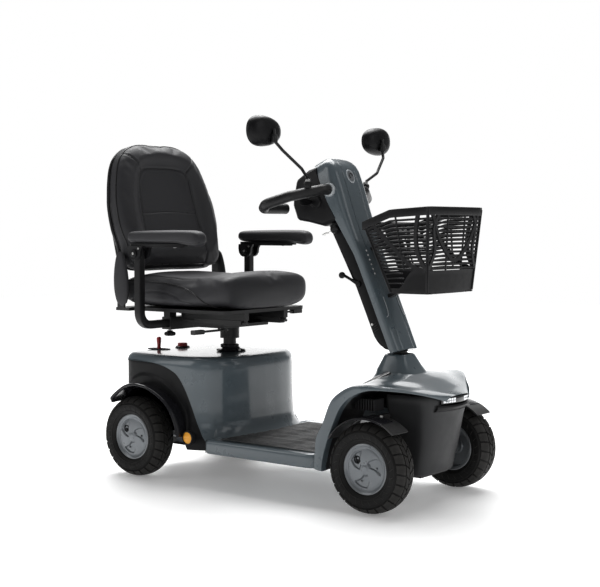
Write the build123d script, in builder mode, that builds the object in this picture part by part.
"""Four-wheel mobility scooter: +X forward, +Y to the rider's left, +Z up, millimetres.

Each piece is a node of its own, and the pieces of one moving body keep the frame of the whole.
"""

from math import cos, radians, sin, tan
import os

from build123d import *

# ---------------------------------------------------------------- driving dimensions
wheelbase = 920.0
track = 470.0
tyre_radius = 130.0
tyre_width = 88.0
rear_axle_x = -431.3
front_axle_x = rear_axle_x + wheelbase

running_clearance = 0.05
seat_gap = 0.3

# running gear
tyre_shoulder = 26.0
bead_radius = 72.0
rim_wall = 6.0
rim_width = 64.0
hub_radius = 22.0
hub_cover_radius = 66.0
hub_cover_depth = 12.0
half_shaft_radius = 10.0
stub_axle_radius = 8.0
gearbox_radius = 46.0
axle_tube_radius = 21.0
motor_radius = 44.0
motor_length = 150.0

# frame
rail_y = 60.0
rail_width = 30.0
rail_bottom = 82.0
rail_height = 25.0
cross_beam_length = 30.0
kingpin_y = 158.0
kingpin_radius = 8.0
kingpin_boss_radius = 14.0
kingpin_boss_height = 36.0
yoke_plate = 11.0
steering_arm = 60.0
arm_plate = 8.0
arm_level = 180.0
tie_pin_radius = 5.0
tie_rod_eye = 10.0
head_tube_radius = 22.0
head_tube_bottom = 215.0
head_tube_top = 414.0
mast_radius = 26.0
mast_top = 396.0

# deck and bodywork
wall = 4.0
deck_top = 150.0
deck_bottom = 112.0
deck_rear_x = rear_axle_x + 305.0
deck_front_x = front_axle_x - 180.0
deck_half_width = 270.0
deck_skin = 6.0
mat_thickness = 3.0
mat_half_width = 225.0
mat_margin = 25.0
shroud_rear_x = rear_axle_x - 92.0
shroud_front_x = rear_axle_x + 340.0
shroud_top = 398.0
shroud_half_width = 186.0
shroud_wing_x = rear_axle_x + 240.0
shroud_wing_half_width = 227.0
shroud_shoulder_z = 300.0
mudguard_outer_y = 285.0
front_mudguard_radius = 142.0
front_mudguard_width = 80.0
hood_half_width = 262.0
hood_nose_half_width = 130.0
nose_x = front_axle_x + 148.0
neck_top = 430.0
neck_top_radius = 38.0
neck_base_radius = 62.0
bumper_half_width = 112.0
bumper_top = 288.0
lamp_half_width = 70.0
lamp_height = 16.0
lamp_z = 314.0
reflector_radius = 20.0

# steering column and tiller
column_x = front_axle_x - 60.0
column_radius = 15.0
tiller_pivot_z = 456.0
tiller_lean = 23.7
clevis_ear = 8.0
tongue_half_width = 13.7
tilt_pin_radius = 6.0
tiller_post_radius = 14.0
front_cover_half_width = 62.0
back_cover_half_width = 55.0
console_half_width = 74.0
front_cover_depth = 29.0
cover_top = 598.0
cover_joint = 418.0
handlebar_radius = 16.0
handlebar_s = 512.0
throttle_s = 505.0
throttle_f = -73.0
throttle_reach = 140.0
basket_gap = 120.0
basket_half_width = 155.0
basket_base_half_width = 128.0
bracket_half_width = 35.0

# seat
seat_post_x = rear_axle_x + 190.0
seat_post_radius = 21.25
seat_post_bottom = 200.0
seat_post_top = 484.0
swivel_plate_z = 486.0
swivel_plate_thickness = 10.0
rail_pitch = 200.0
rail_size = 24.0
rail_depth = 18.0
pan_bottom = 538.0
pan_top = 549.0
pan_half_width = 210.0
cushion_rear_x = rear_axle_x - 117.0
cushion_front_x = rear_axle_x + 368.0
cushion_half_width = 225.0
cushion_top = 662.0
hinge_x = rear_axle_x - 78.0
hinge_z = 712.0
recline = 14.0
backrest_half_width = 228.0
backrest_height = 385.0
hinge_pin_radius = 8.0
arm_x = rear_axle_x + 45.0
arm_y = 274.0
arm_tube = 26.0
arm_tube_z = 496.0
receiver_half_length = 150.0
receiver_wall = 7.0
arm_pivot_z = 728.0
pad_bottom = 757.0
pad_height = 46.0
pad_width = 60.0
pad_rear_x = rear_axle_x + 7.0
pad_front_x = rear_axle_x + 322.0

# mirrors
mirror_base_x = column_x - 229.0
mirror_base_y = 152.0
mirror_boss_radius = 9.0
mirror_stem_radius = 4.5
mirror_width = 128.0
mirror_height = 97.0
mirror_depth = 35.0

# ---------------------------------------------------------------- derived places
wheel_y = track / 2
rail_top = rail_bottom + rail_height
mast_bore = seat_post_radius + running_clearance
pin_level = arm_level + arm_plate / 2
lean = radians(tiller_lean)
tilt = radians(recline)
tiller_forward = (cos(lean), 0, sin(lean))
tiller_up = (-sin(lean), 0, cos(lean))
tiller_origin = (column_x, 0, tiller_pivot_z)
# local x is forward of the tiller, local y along it
tiller_side = Plane(origin=tiller_origin, x_dir=tiller_forward, z_dir=(0, -1, 0))
# local x forward, local y to the left, local z along the tiller
tiller_cross = Plane(origin=tiller_origin, x_dir=tiller_forward, z_dir=tiller_up)
backrest_front = Plane(
    origin=(hinge_x, 0, hinge_z), x_dir=(0, 1, 0), z_dir=(cos(tilt), 0, sin(tilt))
)
SIDES = {"left": 1, "right": -1}


def tiller_point(forward, up, y=0.0):
    """A point given in front of and along the tiller, in the frame of the whole."""
    x = column_x + forward * cos(lean) - up * sin(lean)
    z = tiller_pivot_z + forward * sin(lean) + up * cos(lean)
    return (x, y, z)


def side_plane(y=0.0):
    """A plane seen from the rider's right: local x is X and local y is Z."""
    return Plane(origin=(0, y, 0), x_dir=(1, 0, 0), z_dir=(0, -1, 0))


def block(x_span, y_span, z_span, mode=Mode.ADD):
    """A box between two limits along each axis."""
    spans = [sorted(span) for span in (x_span, y_span, z_span)]
    sizes = [high - low for low, high in spans]
    centre = [(high + low) / 2 for low, high in spans]
    with Locations(tuple(centre)):
        Box(*sizes, mode=mode)


def upright(x, y, z_span, radius, mode=Mode.ADD):
    """A vertical cylinder between two heights."""
    low, high = z_span
    with Locations((x, y, (low + high) / 2)):
        Cylinder(radius, high - low, mode=mode)


def crosswise(x, z, y_span, radius, mode=Mode.ADD):
    """A cylinder along Y between two places."""
    low, high = sorted(y_span)
    with Locations(Location((x, (low + high) / 2, z), (90, 0, 0))):
        Cylinder(radius, high - low, mode=mode)


def prism(plane, points, half_depth, mode=Mode.ADD):
    """A polygon extruded both ways from its plane."""
    with BuildSketch(plane) as profile:
        Polygon(*points, align=None)
    extrude(profile.sketch, amount=half_depth, both=True, mode=mode)


def tube_along(points, radius, bends):
    """A round bar along straight runs joined by arcs."""
    with BuildLine() as path:
        FilletPolyline(*points, radius=bends)
    with BuildSketch(Plane(origin=path.line @ 0, z_dir=path.line % 0)) as section:
        Circle(radius)
    sweep(section.sketch, path=path.line)


def save(piece, label):
    """Labels a finished piece and writes its file."""
    piece.part.label = label
    export_step(piece.part, f"parts/{label}.step")


os.makedirs("parts", exist_ok=True)

# ---------------------------------------------------------------- wheels


def make_tyre(axle_x, y):
    with BuildPart() as tyre:
        crosswise(axle_x, tyre_radius, (y - tyre_width / 2, y + tyre_width / 2), tyre_radius)
        fillet(tyre.edges().filter_by(GeomType.CIRCLE), radius=tyre_shoulder)
        crosswise(axle_x, tyre_radius, (y - tyre_width, y + tyre_width), bead_radius, Mode.SUBTRACT)
    return tyre


def make_rim(axle_x, side, bore, driven):
    y = side * wheel_y
    inner = y - side * rim_width / 2
    outer = y + side * rim_width / 2
    barrel = bead_radius - seat_gap
    with BuildPart() as rim:
        crosswise(axle_x, tyre_radius, (inner, outer), barrel)
        crosswise(axle_x, tyre_radius, (inner, y - side * 6), barrel - rim_wall, Mode.SUBTRACT)
        crosswise(axle_x, tyre_radius, (y + side * 6, outer), barrel - rim_wall, Mode.SUBTRACT)
        crosswise(axle_x, tyre_radius, (inner, outer - side * hub_cover_depth), hub_radius)
        crosswise(axle_x, tyre_radius, (inner - side, outer + side), bore, Mode.SUBTRACT)
    with BuildPart() as cover:
        crosswise(axle_x, tyre_radius, (outer - side * 8, outer + side * 4), barrel - rim_wall - seat_gap)
        fillet(cover.edges().filter_by(GeomType.CIRCLE), radius=3)
    with BuildPart() as group:
        add(rim.part)
        add(cover.part)
        if driven:
            with BuildPart(mode=Mode.PRIVATE) as shaft:
                shaft_end = outer - side * hub_cover_depth
                crosswise(axle_x, tyre_radius, (side * 30, shaft_end), half_shaft_radius)
            add(shaft.part)
    return group


for end, axle_x in (("rear", rear_axle_x), ("front", front_axle_x)):
    for name, side in SIDES.items():
        save(make_tyre(axle_x, side * wheel_y), f"tyre_{end}_{name}")
        driven = end == "rear"
        bore = half_shaft_radius if driven else stub_axle_radius + running_clearance
        save(make_rim(axle_x, side, bore, driven), f"rim_{end}_{name}")

# ---------------------------------------------------------------- frame

rail_inner = rail_y - rail_width / 2
rail_outer = rail_y + rail_width / 2
rail_span = (rail_bottom, rail_top)
frame_rear_x = rear_axle_x - 70.0
frame_front_x = front_axle_x + 65.0
axle_beam_half = 12.0
bracket_x = column_x + 36.0
tray_x = (rear_axle_x + 100.0, rear_axle_x + 296.0)
tray_half_width = 176.0
tray_thickness = 4.0

with BuildPart() as main_frame:
    for side in SIDES.values():
        ys = sorted((side * rail_inner, side * rail_outer))
        block((frame_rear_x, frame_front_x), ys, rail_span)
        block((front_axle_x - 20, front_axle_x + 20), ys, (rail_top, tyre_radius - axle_beam_half))
    beams = (frame_rear_x, seat_post_x - 15, deck_rear_x + 40, deck_front_x - 180, deck_front_x - 40)
    for beam_x in beams + (frame_front_x - cross_beam_length, bracket_x - 10):
        block((beam_x, beam_x + cross_beam_length), (-rail_outer, rail_outer), rail_span)
    # front axle beam with its kingpin bosses
    beam_span = (tyre_radius - axle_beam_half, tyre_radius + axle_beam_half)
    beam_x_span = (front_axle_x - axle_beam_half, front_axle_x + axle_beam_half)
    block(beam_x_span, (-kingpin_y, kingpin_y), beam_span)
    boss_span = (tyre_radius - kingpin_boss_height / 2, tyre_radius + kingpin_boss_height / 2)
    for side in SIDES.values():
        upright(front_axle_x, side * kingpin_y, boss_span, kingpin_boss_radius)
        kingpin_bore = kingpin_radius + running_clearance
        upright(front_axle_x, side * kingpin_y, (60, 200), kingpin_bore, Mode.SUBTRACT)
    # seat mast
    upright(seat_post_x, 0, (rail_bottom, mast_top), mast_radius)
    upright(seat_post_x, 0, (seat_post_bottom - 20, mast_top + 1), mast_bore, Mode.SUBTRACT)
    # steering head on its bracket
    block((bracket_x, bracket_x + 10), (-40, 40), (rail_top, head_tube_bottom + 45))
    block((column_x, bracket_x), (-30, 30), (head_tube_bottom, head_tube_bottom + 45))
    upright(column_x, 0, (head_tube_bottom, head_tube_top), head_tube_radius)
    head_bore = column_radius + running_clearance
    upright(column_x, 0, (head_tube_bottom - 1, head_tube_top + 1), head_bore, Mode.SUBTRACT)
    # body brackets: under the shroud's rear, and up to the hood
    block((shroud_rear_x + 6, shroud_rear_x + 36), (-40, 40), (rail_bottom, deck_top + 30))
    block((bracket_x - 2, bracket_x + 12), (-14, 14), (head_tube_bottom + 45, 340))
    # battery tray
    block(tray_x, (-tray_half_width, tray_half_width), (rail_top, rail_top + tray_thickness))
save(main_frame, "main_frame")

tray_top = rail_top + tray_thickness
battery_height = 168.0
with BuildPart() as batteries:
    for side in SIDES.values():
        ys = sorted((side * 38, side * 168))
        block((tray_x[0] + 4, tray_x[1] - 6), ys, (tray_top, tray_top + battery_height))
        for terminal_x in (tray_x[0] + 24, tray_x[1] - 26):
            terminal_z = (tray_top + battery_height, tray_top + battery_height + 8)
            upright(terminal_x, side * 60, terminal_z, 6)
save(batteries, "batteries")

axle_tube_end = wheel_y - rim_width / 2 - 6.0
with BuildPart() as transaxle:
    crosswise(rear_axle_x, tyre_radius, (-42, 42), gearbox_radius)
    crosswise(rear_axle_x, tyre_radius, (-axle_tube_end, axle_tube_end), axle_tube_radius)
    for side in SIDES.values():
        ys = sorted((side * rail_inner, side * rail_outer))
        block((rear_axle_x - 20, rear_axle_x + 20), ys, (rail_top, tyre_radius))
        bore_span = (side * 28, side * (axle_tube_end + 1))
        shaft_bore = half_shaft_radius + running_clearance
        crosswise(rear_axle_x, tyre_radius, bore_span, shaft_bore, Mode.SUBTRACT)
    block((rear_axle_x - 20, rear_axle_x + 20), (50, 120), (tyre_radius + 14, 190))
save(transaxle, "transaxle")

with BuildPart() as drive_motor:
    with Locations(Location((rear_axle_x - 4, 0, 222), (90, 0, 0))):
        Cylinder(motor_radius, 80)
    block((rear_axle_x - 24, rear_axle_x + 16), (-36, 36), (tyre_radius + 44.5, 190))
    with Locations(Location((rear_axle_x, 0, tyre_radius), (90, 0, 0))):
        Cylinder(gearbox_radius + seat_gap, 90, mode=Mode.SUBTRACT)
save(drive_motor, "drive_motor")

with BuildPart() as controller:
    block((rear_axle_x - 60, rear_axle_x + 60), (46, 136), (190, 222))
    fillet(controller.edges().filter_by(Axis.Z), radius=6)
save(controller, "controller")

# ---------------------------------------------------------------- deck

support = rail_width / 2
with BuildPart() as foot_deck:
    block((deck_rear_x, deck_front_x), (-deck_half_width, deck_half_width), (deck_bottom, deck_top))
    fillet(foot_deck.edges().filter_by(Axis.X).group_by(Axis.Z)[-1], radius=8)
    inner_half = deck_half_width - deck_skin
    inner_x = (deck_rear_x + deck_skin, deck_front_x - deck_skin)
    block(inner_x, (-inner_half, inner_half), (deck_bottom - 1, deck_top - deck_skin), Mode.SUBTRACT)
    for side in SIDES.values():
        ys = (side * rail_y - support, side * rail_y + support)
        block(inner_x, ys, (rail_top, deck_top - deck_skin / 2))
save(foot_deck, "foot_deck")

mat_x = (shroud_front_x + 6.0, deck_front_x - mat_margin)
with BuildPart() as deck_mat:
    block(mat_x, (-mat_half_width, mat_half_width), (deck_top, deck_top + mat_thickness))
    fillet(deck_mat.edges().filter_by(Axis.Z), radius=22)
save(deck_mat, "deck_mat")

# ---------------------------------------------------------------- rear bodywork


def shroud_body(inset, floor):
    """The shroud's outer form, taken in on every side by the inset."""
    half = shroud_half_width - inset
    wing = shroud_wing_half_width - inset
    top = shroud_top - inset
    with BuildPart() as body:
        block((shroud_rear_x + inset, shroud_front_x - inset), (-half, half), (floor, top))
        fillet(body.edges().filter_by(Axis.Z).group_by(Axis.X)[0], radius=40 - inset)
        wing_points = [
            (-wing, floor),
            (-wing, shroud_shoulder_z),
            (-half + 6, top - 4),
            (half - 6, top - 4),
            (wing, shroud_shoulder_z),
            (wing, floor),
        ]
        with BuildSketch(Plane.YZ.offset(shroud_wing_x + inset)):
            Polygon(*wing_points, align=None)
        extrude(amount=shroud_front_x - shroud_wing_x - 2 * inset)
    return body.part


lever_x = rear_axle_x - 41.0
lever_y = -97.0
button_x = rear_axle_x - 23.0
button_radius = 17.0
with BuildPart() as rear_shroud:
    add(shroud_body(0, deck_top))
    add(shroud_body(wall, deck_top - 1), mode=Mode.SUBTRACT)
    upright(seat_post_x, 0, (shroud_top - 20, shroud_top + 1), mast_radius + 4, Mode.SUBTRACT)
    upright(button_x, 0, (shroud_top - 20, shroud_top + 1), button_radius + 2, Mode.SUBTRACT)
    block((lever_x - 34, lever_x + 34), (lever_y - 14, lever_y + 14), (shroud_top - 20, shroud_top + 1),
          Mode.SUBTRACT)
    axle_slot = axle_tube_radius + 3
    crosswise(rear_axle_x, tyre_radius, (-200, 200), axle_slot + 10, Mode.SUBTRACT)
save(rear_shroud, "rear_shroud")

collar_radius = 46.0
lever_pivot_z = 382.0
lever_half = 4.0
with BuildPart() as shroud_trim:
    # collar around the seat mast
    upright(seat_post_x, 0, (shroud_top, shroud_top + 7), collar_radius)
    fillet(shroud_trim.edges().filter_by(GeomType.CIRCLE).group_by(Axis.Z)[-1], radius=3)
    upright(seat_post_x, 0, (shroud_top - 1, shroud_top + 8), seat_post_radius + 1, Mode.SUBTRACT)
    # plate of the freewheel lever, with the ears of its pivot
    with BuildSketch(Plane.XY.offset(shroud_top)):
        with Locations((lever_x, lever_y)):
            SlotOverall(104, 46)
            SlotOverall(56, 2 * lever_half + 2, mode=Mode.SUBTRACT)
    extrude(amount=3)
    for ear in (-1, 1):
        ys = sorted((lever_y + ear * (lever_half + 1), lever_y + ear * (lever_half + 5)))
        block((lever_x - 9, lever_x + 9), ys, (lever_pivot_z - 9, shroud_top + 1))
    ear_span = (lever_y - lever_half - 5, lever_y + lever_half + 5)
    crosswise(lever_x, lever_pivot_z, ear_span, 3)
    # ring of the reset button
    upright(button_x, 0, (shroud_top, shroud_top + 4), 27.5)
    upright(button_x, 0, (shroud_top - 1, shroud_top + 5), button_radius + 0.5, Mode.SUBTRACT)
save(shroud_trim, "shroud_trim")

with BuildPart() as freewheel_lever:
    block((lever_x - 5, lever_x + 5), (lever_y - lever_half, lever_y + lever_half), (lever_pivot_z, 434))
    crosswise(lever_x, lever_pivot_z, (lever_y - lever_half, lever_y + lever_half), 7)
    with Locations((lever_x, lever_y, 434)):
        Sphere(9)
    lever_bore = 3 + running_clearance
    crosswise(lever_x, lever_pivot_z, (lever_y - 20, lever_y + 20), lever_bore, Mode.SUBTRACT)
save(freewheel_lever, "freewheel_lever")

with BuildPart() as reset_button:
    upright(button_x, 0, (shroud_top - 6, shroud_top + 20), button_radius)
    fillet(reset_button.edges().group_by(Axis.Z)[-1], radius=3)
save(reset_button, "reset_button")

panel_front_x = shroud_wing_x - 3.0
panel_bottom = 310.0
with BuildPart() as rear_side_panels:
    for side in SIDES.values():
        with BuildSketch(Plane.YZ.offset(shroud_rear_x + 14)):
            near = side * (shroud_half_width + seat_gap)
            Polygon(
                (near, panel_bottom),
                (side * 240, panel_bottom),
                (side * 240, panel_bottom + 36),
                (side * 205, shroud_top - 14),
                (near, shroud_top - 8),
                align=None,
            )
        extrude(amount=panel_front_x - shroud_rear_x - 14)
save(rear_side_panels, "rear_side_panels")

guard_tail = (rear_axle_x - 72.0, tyre_radius + 130.0)
guard_crown = (rear_axle_x + 36.0, tyre_radius + 174.0)
guard_toe = (rear_axle_x + 218.0, tyre_radius + 18.0)
guard_wall = 5.0
reflector_x = guard_toe[0] + 24.0
reflector_y = 266.0
reflector_z = 150.0
tab_thickness = 5.0
with BuildPart() as rear_mudguards:
    for side in SIDES.values():
        inner_y = shroud_half_width + seat_gap
        with BuildSketch(side_plane(side * (inner_y + mudguard_outer_y) / 2)):
            with BuildLine():
                arc = ThreePointArc(guard_tail, guard_crown, guard_toe)
                centre = arc.arc_center
                inner_points = []
                for point in (guard_toe, guard_crown, guard_tail):
                    toward = Vector(*point) - Vector(centre.X, centre.Y)
                    inner_points.append(Vector(*point) - toward.normalized() * guard_wall)
                Line(guard_toe, inner_points[0])
                ThreePointArc(*inner_points)
                Line(inner_points[2], guard_tail)
            make_face()
        extrude(amount=(mudguard_outer_y - inner_y) / 2, both=True)
        # tab that carries the side reflector
        tab_y = sorted((side * (reflector_y - tab_thickness), side * reflector_y))
        tab_x = (guard_toe[0] - 4, reflector_x + reflector_radius - 4)
        tab_z = (reflector_z - reflector_radius + 4, reflector_z + reflector_radius - 4)
        block(tab_x, tab_y, tab_z)
save(rear_mudguards, "rear_mudguards")

with BuildPart() as reflectors:
    for side in SIDES.values():
        crosswise(reflector_x, reflector_z, (side * reflector_y, side * (reflector_y + 7)), reflector_radius)
        with Locations(Location((shroud_rear_x - 3, side * 120, 300), (0, 90, 0))):
            Cylinder(18, 6)
save(reflectors, "reflectors")

# ---------------------------------------------------------------- front bodywork

hood_rise = [
    (deck_front_x - 2, deck_top),
    (deck_front_x + 4, 203),
    (deck_front_x + 27, 243),
    (deck_front_x + 56, 310),
    (deck_front_x + 90, 342),
    (column_x + 6, 362),
    (column_x + 68, 370),
    (column_x + 140, 358),
    (column_x + 190, 344),
    (nose_x, 328),
    (nose_x, 296),
]
hood_outline = [
    (deck_front_x - 10, -hood_half_width),
    (front_axle_x + 20, -hood_half_width),
    (front_axle_x + 105, -hood_nose_half_width),
    (nose_x - 20, -hood_nose_half_width + 20),
    (nose_x + 1, -70),
    (nose_x + 1, 70),
    (nose_x - 20, hood_nose_half_width - 20),
    (front_axle_x + 105, hood_nose_half_width),
    (front_axle_x + 20, hood_half_width),
    (deck_front_x - 10, hood_half_width),
]
with BuildPart() as front_hood:
    with BuildSketch(side_plane()):
        with BuildLine():
            Polyline(*hood_rise, close=True)
        make_face()
        offset(amount=-wall, mode=Mode.SUBTRACT, kind=Kind.INTERSECTION)
        # the straight closing line is no wall
        with BuildLine():
            Polyline(
                (deck_front_x + 2 + wall, deck_top - 20),
                (deck_front_x + 4 + wall, 190),
                (nose_x - wall, 296 + 12),
                (nose_x - wall, deck_top - 20),
                close=True,
            )
        make_face(mode=Mode.SUBTRACT)
    extrude(amount=hood_half_width, both=True)
    # neck around the steering column
    with BuildSketch(Plane.XY.offset(350)):
        with Locations((column_x, 0)):
            Circle(neck_base_radius)
    with BuildSketch(Plane.XY.offset(neck_top)):
        with Locations((column_x, 0)):
            Circle(neck_top_radius)
    loft()
    with BuildSketch(Plane.XY.offset(350 - 12)):
        with Locations((column_x, 0)):
            Circle(neck_base_radius - wall)
    with BuildSketch(Plane.XY.offset(neck_top + 1)):
        with Locations((column_x, 0)):
            Circle(neck_top_radius - wall)
    loft(mode=Mode.SUBTRACT)
    with BuildSketch(Plane.XY):
        Polygon(*hood_outline, align=None)
    extrude(amount=600, mode=Mode.INTERSECT)
    lamp_cut = lamp_half_width + seat_gap
    lamp_span = (lamp_z - lamp_height / 2 - seat_gap, lamp_z + lamp_height / 2 + seat_gap)
    block((nose_x - 30, nose_x + 5), (-lamp_cut, lamp_cut), lamp_span, Mode.SUBTRACT)
save(front_hood, "front_hood")

with BuildPart() as headlight:
    lamp_z_span = (lamp_z - lamp_height / 2, lamp_z + lamp_height / 2)
    block((nose_x - 16, nose_x), (-lamp_half_width, lamp_half_width), lamp_z_span)
    lamp_back = (lamp_z - lamp_height / 2 - 4, lamp_z + lamp_height / 2 + 4)
    block((nose_x - 24, nose_x - 6), (-lamp_half_width - 8, lamp_half_width + 8), lamp_back)
save(headlight, "headlight")

bumper_points = [
    (front_axle_x + 40, rail_top),
    (front_axle_x + 84, rail_top),
    (front_axle_x + 128, bumper_top - 40),
    (front_axle_x + 132, bumper_top),
    (front_axle_x + 40, bumper_top),
]
with BuildPart() as front_bumper:
    prism(side_plane(), bumper_points, bumper_half_width)
    with BuildSketch(side_plane()):
        Polygon(*bumper_points, align=None)
        offset(amount=-wall, mode=Mode.INTERSECT, kind=Kind.INTERSECTION)
    extrude(amount=bumper_half_width - wall, both=True, mode=Mode.SUBTRACT)
    inner_half = bumper_half_width - wall
    block((front_axle_x + 30, front_axle_x + 60), (-inner_half, inner_half),
          (rail_top + wall, bumper_top - wall), Mode.SUBTRACT)
    # stay up to the lamp housing
    block((nose_x - 24, nose_x - 18), (-40, 40), (bumper_top - 2, lamp_back[0]))
save(front_bumper, "front_bumper")

# ---------------------------------------------------------------- steering


def make_knuckle(side):
    """Yoke on the kingpin, stub axle and steering arm, with the mudguard it carries."""
    y = side * kingpin_y
    top_low = tyre_radius + kingpin_boss_height / 2 + seat_gap
    bottom_high = tyre_radius - kingpin_boss_height / 2 - seat_gap
    web_inner = kingpin_boss_radius + 5
    yoke_half = 13.0
    arm_span = (arm_level, arm_level + arm_plate)
    with BuildPart() as knuckle:
        upright(front_axle_x, y, (bottom_high - yoke_plate, top_low + yoke_plate), kingpin_radius)
        for low, high in ((top_low, arm_span[1]), (bottom_high - yoke_plate, bottom_high)):
            upright(front_axle_x, y, (low, high), yoke_half)
        web_y = sorted((y + side * web_inner, y + side * (web_inner + 8)))
        plate_y = sorted((y, y + side * (web_inner + 8)))
        xs = (front_axle_x - yoke_half, front_axle_x + yoke_half)
        block(xs, plate_y, (top_low, top_low + yoke_plate))
        block(xs, plate_y, (bottom_high - yoke_plate, bottom_high))
        block(xs, web_y, (bottom_high - yoke_plate, top_low + yoke_plate))
        # steering arm with the pin of the tie rod
        arm_x = front_axle_x - steering_arm
        block((arm_x, front_axle_x), (y - 9, y + 9), arm_span)
        upright(arm_x, y, arm_span, 9)
        if side > 0:
            pin_span = (arm_level, arm_level + arm_plate + tie_rod_eye + 2)
        else:
            pin_span = (arm_level - tie_rod_eye - 2, arm_level + arm_plate)
        upright(arm_x, y, pin_span, tie_pin_radius)
        # stay of the mudguard
        guard_inner_y = wheel_y - front_mudguard_width / 2
        stay_y = sorted((y - side * 6, side * (guard_inner_y + 4)))
        stay_top = tyre_radius + front_mudguard_radius + 4
        block((front_axle_x - 8, front_axle_x + 8), (y - 8, y + 8), (arm_span[1] - 1, stay_top))
        block((front_axle_x - 8, front_axle_x + 8), stay_y, (stay_top - 6, stay_top))
        clear_radius = front_mudguard_radius + wall
        crosswise(front_axle_x, tyre_radius, (side * guard_inner_y, side * (guard_inner_y + 9)),
                  clear_radius, Mode.SUBTRACT)
        stub_end = wheel_y + rim_width / 2 - hub_cover_depth
        crosswise(front_axle_x, tyre_radius, (side * (kingpin_y + web_inner), side * stub_end),
                  stub_axle_radius)
    with BuildPart() as guard:
        with BuildSketch(side_plane(side * wheel_y)):
            with BuildLine():
                centre = (front_axle_x, tyre_radius)
                outer_arc = CenterArc(centre, front_mudguard_radius + wall, 48, 100)
                inner_arc = CenterArc(centre, front_mudguard_radius, 48, 100)
                Line(outer_arc @ 0, inner_arc @ 0)
                Line(outer_arc @ 1, inner_arc @ 1)
            make_face()
        extrude(amount=front_mudguard_width / 2, both=True)
    with BuildPart() as group:
        add(knuckle.part)
        add(guard.part)
    return group


for name, side in SIDES.items():
    save(make_knuckle(side), f"knuckle_{name}")


def make_tie_rod(side):
    """A rod from the column's pin to the knuckle's pin, with an eye at each end."""
    if side > 0:
        low = arm_level + arm_plate + 1
    else:
        low = arm_level - 1 - tie_rod_eye
    span = (low, low + tie_rod_eye)
    inner = (column_x - steering_arm, 0)
    outer = (front_axle_x - steering_arm, side * kingpin_y)
    with BuildPart() as rod:
        for x, y in (inner, outer):
            upright(x, y, span, 11)
        with BuildSketch(Plane.XY.offset(low + 2)):
            with BuildLine():
                Line(inner, outer)
            trace(line_width=9)
        extrude(amount=tie_rod_eye - 4)
        upright(*inner, (low - 1, low + tie_rod_eye + 1), tie_pin_radius + running_clearance, Mode.SUBTRACT)
        upright(*outer, (low - 1, low + tie_rod_eye + 1), tie_pin_radius + 0.6, Mode.SUBTRACT)
    return rod


for name, side in SIDES.items():
    save(make_tie_rod(side), f"tie_rod_{name}")

ear_outer = tongue_half_width + seat_gap + clevis_ear
with BuildPart() as steering_column:
    upright(column_x, 0, (arm_level - 6, neck_top + 4), column_radius)
    upright(column_x, 0, (neck_top - 6, tiller_pivot_z - 10), 23)
    block((column_x - steering_arm, column_x), (-9, 9), (arm_level, arm_level + arm_plate))
    upright(column_x - steering_arm, 0, (arm_level, arm_level + arm_plate), 9)
    pitman_pin = (arm_level - tie_rod_eye - 2, arm_level + arm_plate + tie_rod_eye + 2)
    upright(column_x - steering_arm, 0, pitman_pin, tie_pin_radius)
    for side in SIDES.values():
        ear_y = sorted((side * (tongue_half_width + seat_gap), side * ear_outer))
        block((column_x - 16, column_x + 16), ear_y, (tiller_pivot_z - 12, tiller_pivot_z))
        crosswise(column_x, tiller_pivot_z, ear_y, 16)
    crosswise(column_x, tiller_pivot_z, (-ear_outer, ear_outer), tilt_pin_radius)
    # room for the tongue to tilt
    with Locations(Location((column_x, 0, tiller_pivot_z), (90, 0, 0))):
        Cylinder(17, 2 * tongue_half_width + 2 * seat_gap, mode=Mode.SUBTRACT)
        Cylinder(tilt_pin_radius, 2 * tongue_half_width + 2 * seat_gap)
save(steering_column, "steering_column")

# ---------------------------------------------------------------- tiller

bracket_arms = (150.0, 305.0)
bracket_top = 345.0
bracket_f = (basket_gap - 8.0, basket_gap - 4.0)
with BuildPart() as tiller_post:
    crosswise(column_x, tiller_pivot_z, (-tongue_half_width, tongue_half_width), 15)
    with BuildSketch(tiller_cross.offset(14)):
        Circle(tiller_post_radius - 0.5)
    extrude(amount=handlebar_s - 14 + 20)
    with BuildSketch(tiller_cross):
        Rectangle(22, 2 * tongue_half_width)
    extrude(amount=30)
    crosswise(column_x, tiller_pivot_z, (-30, 30), tilt_pin_radius + running_clearance, Mode.SUBTRACT)
    # clamp of the handlebar
    with BuildSketch(tiller_cross.offset(handlebar_s - 24)):
        Rectangle(44, 60)
    extrude(amount=48)
    # basket bracket
    for arm_s in bracket_arms:
        with BuildSketch(tiller_cross.offset(arm_s - 5)):
            with Locations((bracket_f[0] / 2, 0)):
                Rectangle(bracket_f[0], 24)
        extrude(amount=10)
    with BuildSketch(tiller_cross.offset(bracket_arms[0] - 12)):
        with Locations((sum(bracket_f) / 2, 0)):
            Rectangle(bracket_f[1] - bracket_f[0], 2 * bracket_half_width)
    extrude(amount=bracket_top - bracket_arms[0] + 12)
    # seat of the handlebar
    bar_seat = tiller_point(0, handlebar_s)
    crosswise(bar_seat[0], bar_seat[2], (-40, 40), handlebar_radius + 0.2, Mode.SUBTRACT)
save(tiller_post, "tiller_post")

bar_x = tiller_point(0, handlebar_s)[0]
bar_z = tiller_point(0, handlebar_s)[2]
half_bar = [
    (column_x - 205, 110, 925),
    (column_x - 260, 205, 903),
    (column_x - 315, 246, 880),
    (column_x - 348, 216, 868),
    (column_x - 340, 118, 868),
]
bar_points = [(x, -y, z) for x, y, z in reversed(half_bar)]
bar_points += [(bar_x, -70, bar_z), (bar_x, 70, bar_z)] + half_bar
with BuildPart() as handlebar:
    tube_along(bar_points, handlebar_radius, 20)
    for side in SIDES.values():
        upright(mirror_base_x, side * mirror_base_y, (916, 946), 9)
        upright(mirror_base_x, side * mirror_base_y, (932, 947), 5 + running_clearance, Mode.SUBTRACT)
save(handlebar, "handlebar")

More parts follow.
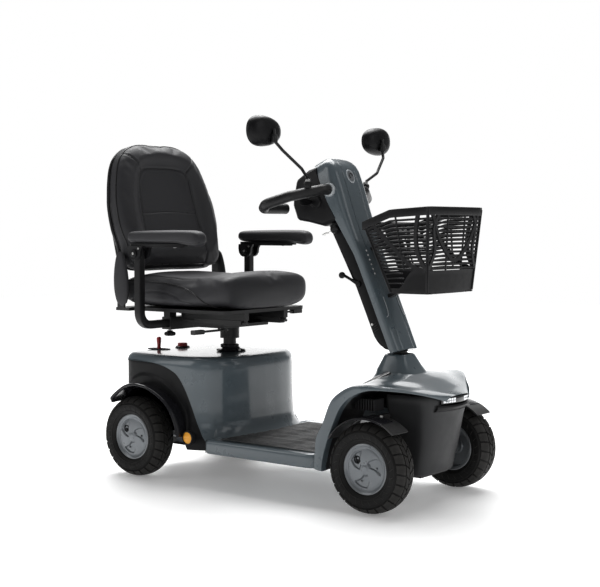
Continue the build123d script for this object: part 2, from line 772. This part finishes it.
front_profile = [
    (-2, -12),
    (front_cover_depth, -20),
    (front_cover_depth, 572),
    (12, cover_top),
    (-24, cover_top),
    (-24, 484),
    (-16, cover_joint),
    (-2, 300),
]
with BuildPart() as tiller_front_cover:
    prism(tiller_side, front_profile, front_cover_half_width)
    inner_front = front_cover_depth - wall
    front_hollow = [
        (-60, -40),
        (inner_front, -40),
        (inner_front, 570),
        (10, cover_top - wall),
        (-60, cover_top - wall),
    ]
    prism(tiller_side, front_hollow, front_cover_half_width - wall, Mode.SUBTRACT)
    crosswise(bar_x, bar_z, (-80, 80), handlebar_radius + 1, Mode.SUBTRACT)
    for arm_s in bracket_arms:
        with BuildSketch(tiller_cross.offset(arm_s - 6)):
            with Locations((front_cover_depth, 0)):
                Rectangle(20, 26)
        extrude(amount=12, mode=Mode.SUBTRACT)
save(tiller_front_cover, "tiller_front_cover")

barrel_y = -(back_cover_half_width + 9.0)
barrel_f = (-46.0, -24.0)
barrel_s = 398.0
tiller_rear = Plane(origin=tiller_point(0, 0), x_dir=(0, 1, 0), z_dir=tiller_forward)
back_profile = [
    (-2.3, -5),
    (-21, -3),
    (-47, 40),
    (-48, 210),
    (-66, cover_joint - seat_gap),
    (-16.3, cover_joint - seat_gap),
    (-2.3, 300),
]
lever_f = -26.0
lever_s = 214.0
with BuildPart() as tiller_back_cover:
    prism(tiller_side, back_profile, back_cover_half_width)
    back_hollow = [
        (20, -30),
        (-30, -30),
        (-30, 14),
        (-43, 45),
        (-44, 210),
        (-62, cover_joint - wall),
        (20, cover_joint - wall),
    ]
    prism(tiller_side, back_hollow, back_cover_half_width - wall, Mode.SUBTRACT)
    # barrel of the key switch
    with BuildSketch(tiller_rear.offset(barrel_f[0])):
        with Locations((barrel_y, barrel_s)):
            Circle(11)
    extrude(amount=barrel_f[1] - barrel_f[0])
    with BuildSketch(tiller_rear.offset(barrel_f[0] - 1)):
        with Locations((barrel_y, barrel_s)):
            Circle(3 + running_clearance)
    extrude(amount=13, mode=Mode.SUBTRACT)
    # pivot of the tilt lever
    pivot_x, _, pivot_z = tiller_point(lever_f, lever_s)
    crosswise(pivot_x, pivot_z, (-back_cover_half_width + 1, -back_cover_half_width - 7), 4)
save(tiller_back_cover, "tiller_back_cover")

with BuildPart() as ignition_key:
    with BuildSketch(tiller_rear.offset(barrel_f[0] - 22)):
        with Locations((barrel_y, barrel_s)):
            Circle(3)
    extrude(amount=32)
    with BuildSketch(tiller_rear.offset(barrel_f[0] - 40)):
        with Locations((barrel_y, barrel_s)):
            Rectangle(3, 24)
    extrude(amount=19)
save(ignition_key, "ignition_key")

knob_f = -64.0
knob_s = 258.0
with BuildPart() as tilt_lever:
    lever_near = -back_cover_half_width - seat_gap
    lever_plane = side_plane(lever_near - 2.5)
    lever_run = [
        tiller_point(lever_f, lever_s)[::2],
        tiller_point(knob_f, knob_s)[::2],
    ]
    with BuildSketch(lever_plane):
        with BuildLine():
            Line(*lever_run)
        trace(line_width=12)
    extrude(amount=2.5, both=True)
    crosswise(*lever_run[0], (lever_near - 5, lever_near), 9)
    crosswise(*lever_run[1], (lever_near - 16, lever_near), 10)
    crosswise(*lever_run[0], (-80, -40), 4 + running_clearance, Mode.SUBTRACT)
save(tilt_lever, "tilt_lever")

face_top = (-109.0, 596.0)
face_low = (-153.0, 533.0)
console_profile = [
    (-16.3, cover_joint),
    (-66.3, cover_joint),
    (-122, 460),
    (-155, 479),
    face_low,
    face_top,
    (-52, 605),
    (-24.3, 600),
    (-24.3, 484),
]
face_vector = Vector(*tiller_point(*face_top)) - Vector(*tiller_point(*face_low))
face_centre = (Vector(*tiller_point(*face_top)) + Vector(*tiller_point(*face_low))) * 0.5
face_normal = Vector(0, 1, 0).cross(face_vector).normalized() * -1
# local x to the rider's right, local y up the face, local z out of it
console_face = Plane(origin=face_centre, x_dir=(0, -1, 0), z_dir=face_normal)
dial_place = (0, -14)
button_places = {"left": (-46, -14), "right": (46, -14)}
push_radius = 7.0
with BuildPart() as console:
    prism(tiller_side, console_profile, console_half_width)
    with BuildSketch(tiller_side):
        Polygon(*console_profile, align=None)
        offset(amount=-wall, mode=Mode.INTERSECT, kind=Kind.INTERSECTION)
    extrude(amount=console_half_width - wall, both=True, mode=Mode.SUBTRACT)
    # slots and pivot of the throttle lever
    with BuildSketch(tiller_cross.offset(throttle_s - 10)):
        with Locations((throttle_f, 0)):
            Rectangle(44, 2 * console_half_width + 4)
    extrude(amount=20, mode=Mode.SUBTRACT)
    with BuildSketch(tiller_cross.offset(426)):
        with Locations((throttle_f, 0)):
            Circle(5)
    extrude(amount=174)
    with BuildSketch(console_face.offset(-wall - 2)):
        with Locations(*button_places.values()):
            Circle(push_radius + 0.3)
        with Locations(dial_place):
            Circle(4 + running_clearance)
    extrude(amount=wall + 4, mode=Mode.SUBTRACT)
with BuildPart() as display:
    with BuildSketch(console_face):
        with Locations((0, 22)):
            Rectangle(76, 24)
    extrude(amount=2.5)
with BuildPart() as console_group:
    add(console.part)
    add(display.part)
save(console_group, "console")

with BuildPart() as throttle_lever:
    with BuildSketch(tiller_cross.offset(throttle_s - 7)):
        with Locations((throttle_f, 0)):
            Rectangle(8, 2 * throttle_reach)
            Circle(12)
    extrude(amount=14)
    for side in SIDES.values():
        with BuildSketch(tiller_cross.offset(throttle_s - 13)):
            with Locations((throttle_f, side * (throttle_reach - 22))):
                Rectangle(10, 44)
        extrude(amount=26)
    with BuildSketch(tiller_cross.offset(throttle_s - 20)):
        with Locations((throttle_f, 0)):
            Circle(5 + running_clearance)
    extrude(amount=40, mode=Mode.SUBTRACT)
save(throttle_lever, "throttle_lever")

with BuildPart() as speed_dial:
    with BuildSketch(console_face.offset(seat_gap)):
        with Locations(dial_place):
            Circle(15)
    extrude(amount=12, taper=4)
    with BuildSketch(console_face.offset(-wall)):
        with Locations(dial_place):
            Circle(4)
    extrude(amount=wall + 1)
save(speed_dial, "speed_dial")

for name, place in button_places.items():
    with BuildPart() as push_button:
        with BuildSketch(console_face.offset(-wall - 4)):
            with Locations(place):
                Circle(push_radius)
        extrude(amount=wall + 8)
    save(push_button, f"push_button_{name}")

# ---------------------------------------------------------------- basket

basket_floor = 621.0
basket_rear_low = tiller_point(basket_gap, (basket_floor - tiller_pivot_z - basket_gap * sin(lean)) / cos(lean))
basket_rear_high = tiller_point(basket_gap, 352)
basket_front = [(column_x + 180, basket_floor), (column_x + 198, 870)]
basket_rim = (column_x + 65, 862)
basket_top = 900.0
with BuildPart() as basket:
    profile = [basket_rear_low[::2], basket_front[0], basket_front[1], basket_rim, basket_rear_high[::2]]
    prism(side_plane(), profile, basket_half_width)
    front_view = [
        (-basket_base_half_width, basket_floor),
        (basket_base_half_width, basket_floor),
        (basket_half_width, basket_top),
        (-basket_half_width, basket_top),
    ]
    with BuildSketch(Plane.YZ):
        Polygon(*front_view, align=None)
    extrude(amount=2000, both=True, mode=Mode.INTERSECT)
    slope = (basket_half_width - basket_base_half_width) / (basket_top - basket_floor)
    rear_slope = tan(lean)
    hollow_low = basket_floor + wall
    hollow_side = [
        (basket_rear_low[0] + wall / cos(lean) - wall * rear_slope, hollow_low),
        (basket_front[0][0] - wall, hollow_low),
        (basket_front[1][0] - wall + 2, basket_top),
        (basket_rear_low[0] + wall / cos(lean) - (basket_top - basket_floor) * rear_slope, basket_top),
    ]
    hollow_half = basket_base_half_width - wall + slope * wall
    with BuildPart(mode=Mode.PRIVATE) as hollow:
        prism(side_plane(), hollow_side, basket_half_width)
        inner_view = [
            (-hollow_half, hollow_low),
            (hollow_half, hollow_low),
            (basket_half_width - wall, basket_top),
            (-basket_half_width + wall, basket_top),
        ]
        with BuildSketch(Plane.YZ):
            Polygon(*inner_view, align=None)
        extrude(amount=2000, both=True, mode=Mode.INTERSECT)
    add(hollow.part, mode=Mode.SUBTRACT)
    # hooks over the bracket's upper edge
    with BuildSketch(tiller_cross.offset(bracket_top + seat_gap)):
        with Locations((basket_gap - 7, 0)):
            Rectangle(14.4, 2 * bracket_half_width - 10)
    extrude(amount=5)
    with BuildSketch(tiller_cross.offset(bracket_top - 16)):
        with Locations((basket_gap - 8 - seat_gap - 2.95, 0)):
            Rectangle(5.9, 2 * bracket_half_width - 10)
    extrude(amount=20)
save(basket, "basket")

# ---------------------------------------------------------------- mirrors

stem_points = [
    (0, 0, 932),
    (0, 0, 956),
    (12, 46, 984),
    (-8, 112, 1036),
    (-24, 131, 1064),
    (-24, 131, 1098),
]


def make_mirror(side):
    """Stem with its upright pin, and the housing with its glass."""
    points = [(mirror_base_x + x, side * (mirror_base_y + y), z) for x, y, z in stem_points]
    pin_x, pin_y, pin_top = points[-1]
    with BuildPart() as stem:
        tube_along(points, mirror_stem_radius, 10)
        upright(points[0][0], points[0][1], (932, 950), 5)
    shell_x = pin_x - mirror_boss_radius + 2 - mirror_depth / 2
    shell_y = pin_y + side * 14
    shell_z = pin_top - 2
    with BuildPart() as housing:
        with Locations((shell_x, shell_y, shell_z)):
            Box(mirror_depth, mirror_width, mirror_height)
        fillet(housing.edges().filter_by(Axis.X), radius=26)
        fillet(housing.faces().sort_by(Axis.X)[-1].edges(), radius=10)
        with Locations((shell_x - mirror_depth / 2, shell_y, shell_z)):
            Box(8, mirror_width - 8, mirror_height - 8, mode=Mode.SUBTRACT)
        upright(pin_x, pin_y, (pin_top - 16, pin_top + 4), mirror_boss_radius)
        pin_bore = mirror_stem_radius + running_clearance
        upright(pin_x, pin_y, (pin_top - 18, pin_top + 0.2), pin_bore, Mode.SUBTRACT)
    with BuildPart() as glass:
        with Locations((shell_x - mirror_depth / 2 + 2, shell_y, shell_z)):
            Box(4 - seat_gap, mirror_width - 8 - 2 * seat_gap, mirror_height - 8 - 2 * seat_gap)
        fillet(glass.edges().filter_by(Axis.X), radius=20)
    with BuildPart() as head:
        add(housing.part)
        add(glass.part)
    return stem, head


for name, side in SIDES.items():
    mirror_stem, mirror_head = make_mirror(side)
    save(mirror_stem, f"mirror_stem_{name}")
    save(mirror_head, f"mirror_head_{name}")

# ---------------------------------------------------------------- seat

with BuildPart() as seat_post:
    upright(seat_post_x, 0, (seat_post_bottom, seat_post_top), seat_post_radius)
save(seat_post, "seat_post")

socket_bottom = 446.0
rail_y_places = (-rail_pitch / 2, rail_pitch / 2)
lower_rail_bottom = swivel_plate_z + swivel_plate_thickness
lower_rail_top = lower_rail_bottom + rail_depth
slot_half = 4.0
groove_half = 9.0
groove_height = 8.0
plate_x = (rear_axle_x + 134.0, rear_axle_x + 262.0)
rail_x = (rear_axle_x + 134.0, rear_axle_x + 334.0)
swivel_pin = (rear_axle_x + 236.0, -78.0)
with BuildPart() as swivel_base:
    upright(seat_post_x, 0, (socket_bottom, swivel_plate_z + 1), 32)
    block(plate_x, (-rail_pitch / 2 - 14, rail_pitch / 2 + 14), (swivel_plate_z, lower_rail_bottom))
    for y in rail_y_places:
        block(rail_x, (y - rail_size / 2, y + rail_size / 2), (lower_rail_bottom, lower_rail_top))
        groove_z = (lower_rail_bottom + 4, lower_rail_bottom + 4 + groove_height)
        block((rail_x[0] - 1, rail_x[1] + 1), (y - groove_half, y + groove_half), groove_z, Mode.SUBTRACT)
        slot_z = (groove_z[1] - 1, lower_rail_top + 1)
        block((rail_x[0] - 1, rail_x[1] + 1), (y - slot_half, y + slot_half), slot_z, Mode.SUBTRACT)
    upright(seat_post_x, 0, (socket_bottom - 1, seat_post_top), mast_bore, Mode.SUBTRACT)
    upright(*swivel_pin, (swivel_plate_z - 16, swivel_plate_z + 1), 5)
save(swivel_base, "swivel_base")


def make_lever(pivot, side, level, reach):
    """A flat lever out to one side, with a bent-up grip at its end."""
    x, y = pivot
    tip = side * reach
    with BuildPart() as lever:
        upright(x, y, (level, level + 6), 11)
        block((x - 7, x + 7), sorted((y, tip)), (level, level + 6))
        block((x - 9, x + 9), sorted((tip, tip - side * 46)), (level - 4, level + 10))
        fillet(lever.edges().filter_by(Axis.Y), radius=1.5)
        upright(x, y, (level - 5, level + 11), 5 + running_clearance, Mode.SUBTRACT)
    return lever


swivel_level = swivel_plate_z - 10.0
save(make_lever(swivel_pin, -1, swivel_level, 232.0), "swivel_lever")

slide_pin = (rear_axle_x + 300.0, 140.0)
slide_level = pan_bottom - 14.0
save(make_lever(slide_pin, 1, slide_level, 240.0), "slide_lever")

receiver_half = arm_tube / 2 + seat_gap + receiver_wall
knob_y = 134.0
stud_radius = 4.0
hinge_plate_y = (backrest_half_width + 4.0, backrest_half_width + 10.0)
with BuildPart() as seat_pan:
    block((cushion_rear_x + 17, cushion_front_x - 18), (-pan_half_width, pan_half_width), (pan_bottom, pan_top))
    fillet(seat_pan.edges().filter_by(Axis.Z), radius=30)
    for y in rail_y_places:
        foot_z = (lower_rail_bottom + 4 + seat_gap, lower_rail_bottom + 4 + groove_height - seat_gap)
        foot_x = (rail_x[0] - 60, rail_x[1] + 14)
        foot = groove_half - seat_gap
        block(foot_x, (y - foot, y + foot), foot_z)
        stem_half = slot_half - seat_gap
        block(foot_x, (y - stem_half, y + stem_half), (foot_z[0], pan_bottom + 1))
        block(foot_x, (y - 10, y + 10), (lower_rail_top + seat_gap, pan_bottom + 1))
    # receiver of the armrest tubes, hung under the pan
    receiver_x = (arm_x - receiver_half, arm_x + receiver_half)
    receiver_z = (arm_tube_z - receiver_half, arm_tube_z + receiver_half)
    block(receiver_x, (-receiver_half_length, receiver_half_length), receiver_z)
    for side in SIDES.values():
        hanger_y = sorted((side * 118, side * 148))
        block((arm_x - 14, arm_x + 14), hanger_y, (receiver_z[1] - 1, pan_bottom + 1))
        # plates of the backrest hinge
        plate_y = sorted((side * hinge_plate_y[0], side * hinge_plate_y[1]))
        foot_y = sorted((side * (pan_half_width - 40), side * hinge_plate_y[1]))
        block((hinge_x - 22, hinge_x + 38), foot_y, (pan_bottom, pan_top - 1))
        block((hinge_x - 16, hinge_x + 16), plate_y, (pan_bottom, hinge_z))
        crosswise(hinge_x, hinge_z, plate_y, 16)
        pin_span = (side * (backrest_half_width - 10), side * 260)
        hinge_bore = hinge_pin_radius + running_clearance
        crosswise(hinge_x, hinge_z, pin_span, hinge_bore, Mode.SUBTRACT)
    bore_half = arm_tube / 2 + seat_gap
    bore_x = (arm_x - bore_half, arm_x + bore_half)
    bore_z = (arm_tube_z - bore_half, arm_tube_z + bore_half)
    block(bore_x, (-receiver_half_length - 1, receiver_half_length + 1), bore_z, Mode.SUBTRACT)
    for side in SIDES.values():
        stud_span = (receiver_z[0] - 1, bore_z[0] + 1)
        upright(arm_x, side * knob_y, stud_span, stud_radius + running_clearance, Mode.SUBTRACT)
    upright(*slide_pin, (slide_level - 4, pan_bottom + 1), 5)
save(seat_pan, "seat_pan")

for name, side in SIDES.items():
    with BuildPart() as star_knob:
        upright(arm_x, side * knob_y, (receiver_z[0] - 22, receiver_z[0] - 2), 17)
        upright(arm_x, side * knob_y, (receiver_z[0] - 3, bore_z[0] - seat_gap), stud_radius)
    save(star_knob, f"star_knob_{name}")

with BuildPart() as seat_cushion:
    block((cushion_rear_x, cushion_front_x), (-cushion_half_width, cushion_half_width),
          (pan_top + seat_gap, cushion_top))
    fillet(seat_cushion.edges().filter_by(Axis.Z), radius=48)
    fillet(seat_cushion.edges().group_by(Axis.Z)[-1], radius=30)
save(seat_cushion, "seat_cushion")

backrest_outline = [
    (-backrest_half_width + 30, -20),
    (backrest_half_width - 30, -20),
    (backrest_half_width, 10),
    (backrest_half_width, 120),
    (backrest_half_width - 18, 215),
    (backrest_half_width - 38, 275),
    (backrest_half_width - 78, 345),
    (backrest_half_width - 128, backrest_height),
    (-backrest_half_width + 128, backrest_height),
    (-backrest_half_width + 78, 345),
    (-backrest_half_width + 38, 275),
    (-backrest_half_width + 18, 215),
    (-backrest_half_width, 120),
    (-backrest_half_width, 10),
]
shell_back = -40.0
shell_front = -12.0
cushion_front = 44.0
web_half_width = 190.0
with BuildPart() as backrest_shell:
    with BuildSketch(backrest_front.offset(shell_back)):
        Polygon(*backrest_outline, align=None)
        offset(amount=-12, mode=Mode.INTERSECT)
    extrude(amount=shell_front - shell_back)
    fillet(backrest_shell.faces().sort_by(Axis.X)[0].edges(), radius=8)
    # hinge bar on its web
    pin_length = hinge_plate_y[1] + 4
    crosswise(hinge_x, hinge_z, (-pin_length, pin_length), hinge_pin_radius)
    with BuildSketch(backrest_front.offset(shell_front - 1)):
        Rectangle(2 * web_half_width, 2 * hinge_pin_radius)
    extrude(amount=1 - shell_front)
save(backrest_shell, "backrest_shell")

with BuildPart() as backrest_cushion:
    with BuildSketch(backrest_front.offset(shell_front + seat_gap)):
        Polygon(*backrest_outline, align=None)
    extrude(amount=cushion_front - shell_front - seat_gap)
    fillet(backrest_cushion.faces().sort_by(Axis((0, 0, 0), (cos(tilt), 0, sin(tilt))))[-1].edges(), radius=20)
    crosswise(hinge_x, hinge_z, (-pin_length, pin_length), hinge_pin_radius + seat_gap, Mode.SUBTRACT)
    with BuildSketch(backrest_front.offset(shell_front)):
        Rectangle(2 * (web_half_width + seat_gap), 2 * (hinge_pin_radius + seat_gap))
    extrude(amount=-shell_front, mode=Mode.SUBTRACT)
save(backrest_cushion, "backrest_cushion")

# ---------------------------------------------------------------- armrests

post_inner_y = 60.0
cheek = 5.0
arm_pin_radius = 5.0
for name, side in SIDES.items():
    y = side * arm_y
    half = arm_tube / 2
    with BuildPart() as arm_post:
        tube_y = sorted((side * post_inner_y, y + side * half))
        block((arm_x - half, arm_x + half), tube_y, (arm_tube_z - half, arm_tube_z + half))
        block((arm_x - half, arm_x + half), (y - half, y + half), (arm_tube_z - half, arm_pivot_z))
        outer_edge = arm_post.edges().filter_by(Axis.X).sort_by(
            lambda edge: (edge.center() - Vector(arm_x, y + side * half, arm_tube_z - half)).length
        )[0]
        fillet(outer_edge, radius=22)
        crosswise(arm_x, arm_pivot_z, (y - half, y + half), half)
        pin_bore = arm_pin_radius + running_clearance
        crosswise(arm_x, arm_pivot_z, (y - half - 1, y + half + 1), pin_bore, Mode.SUBTRACT)
    save(arm_post, f"arm_post_{name}")
    with BuildPart() as arm_bracket:
        for cheek_side in (-1, 1):
            near = y + cheek_side * (half + seat_gap)
            cheek_y = sorted((near, near + cheek_side * cheek))
            block((arm_x - 18, arm_x + 34), cheek_y, (arm_pivot_z - 14, pad_bottom - 2))
        block((arm_x - 18, arm_x + 90), (y - half - seat_gap - cheek, y + half + seat_gap + cheek),
              (pad_bottom - 8, pad_bottom))
        block((arm_x + half + 4, arm_x + 34), (y - half, y + half), (arm_pivot_z - 14, pad_bottom - 4))
        crosswise(arm_x, arm_pivot_z, (y - half - 2, y + half + 2), arm_pin_radius)
    with BuildPart() as pad:
        block((pad_rear_x, pad_front_x), (y - pad_width / 2, y + pad_width / 2),
              (pad_bottom + seat_gap, pad_bottom + pad_height))
        fillet(pad.edges().filter_by(Axis.Z), radius=24)
        fillet(pad.edges().group_by(Axis.Z)[-1], radius=14)
    with BuildPart() as arm_rest:
        add(arm_bracket.part)
        add(pad.part)
    save(arm_rest, f"armrest_{name}")
